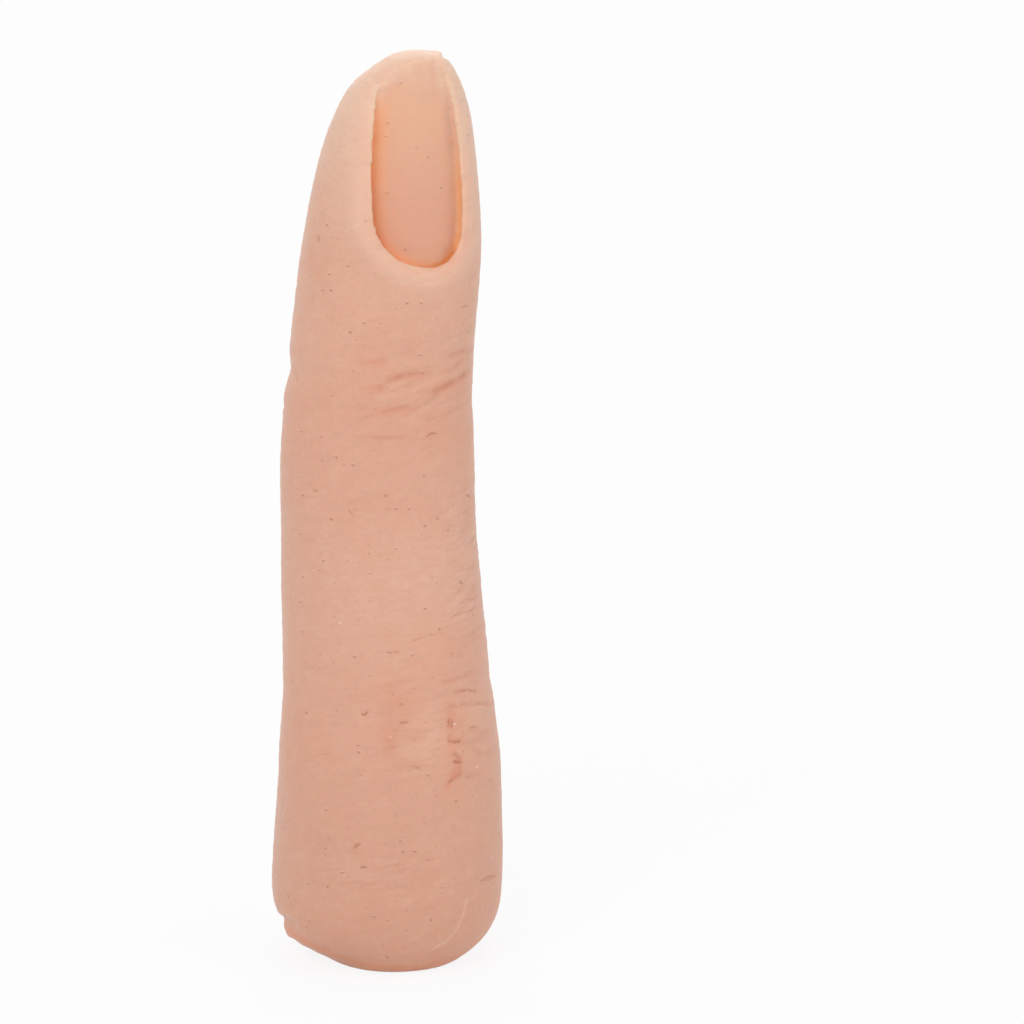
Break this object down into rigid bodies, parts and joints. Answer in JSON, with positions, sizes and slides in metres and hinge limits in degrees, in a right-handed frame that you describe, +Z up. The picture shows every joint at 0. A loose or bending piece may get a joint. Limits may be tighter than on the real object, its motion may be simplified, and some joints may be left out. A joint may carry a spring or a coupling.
{
  "type": "nail practice finger",
  "caption": "Life-size posable silicone finger with an open nail slot that takes false nail tips, standing on its cut base.",
  "frame": {"origin": "centre of the flat cut base that the finger stands on", "axes": "+Z up the finger to the fingertip, -Y the way the nail faces, +Y the palm side, +X to the right when the nail is seen from the front"},
  "size_m": [0.0187, 0.0175, 0.0756],
  "materials": {
    "silicone": "matte moulded skin texture, warm peach",
    "bone_plastic": "moulded, off-white",
    "core_wire": "drawn, soft satin",
    "anchor_steel": "stamped, zinc plated",
    "cap_rubber": "moulded, matte black"
  },
  "bodies": {
    "base": {"base_flesh": "silicone", "base_bone": "bone_plastic", "anchor_plate": "anchor_steel", "core_wire_lower": "core_wire"},
    "middle": {"middle_flesh": "silicone", "middle_bone": "bone_plastic", "core_wire_upper": "core_wire"},
    "tip": {"tip_flesh": "silicone", "tip_bone": "bone_plastic", "tip_cap": "cap_rubber"}
  },
  "joints": [
    {"name": "pip_knuckle", "type": "hinge", "parent": "base", "child": "middle", "pos_m": [0, 0, 0.0175], "axis": [-1, 0, 0], "range_deg": [-10, 55], "deforming": ["core_wire_lower"]},
    {"name": "dip_knuckle", "type": "hinge", "parent": "middle", "child": "tip", "pos_m": [0, 0, 0.0455], "axis": [-1, 0, 0], "range_deg": [-10, 45], "deforming": ["core_wire_upper"]}
  ]
}
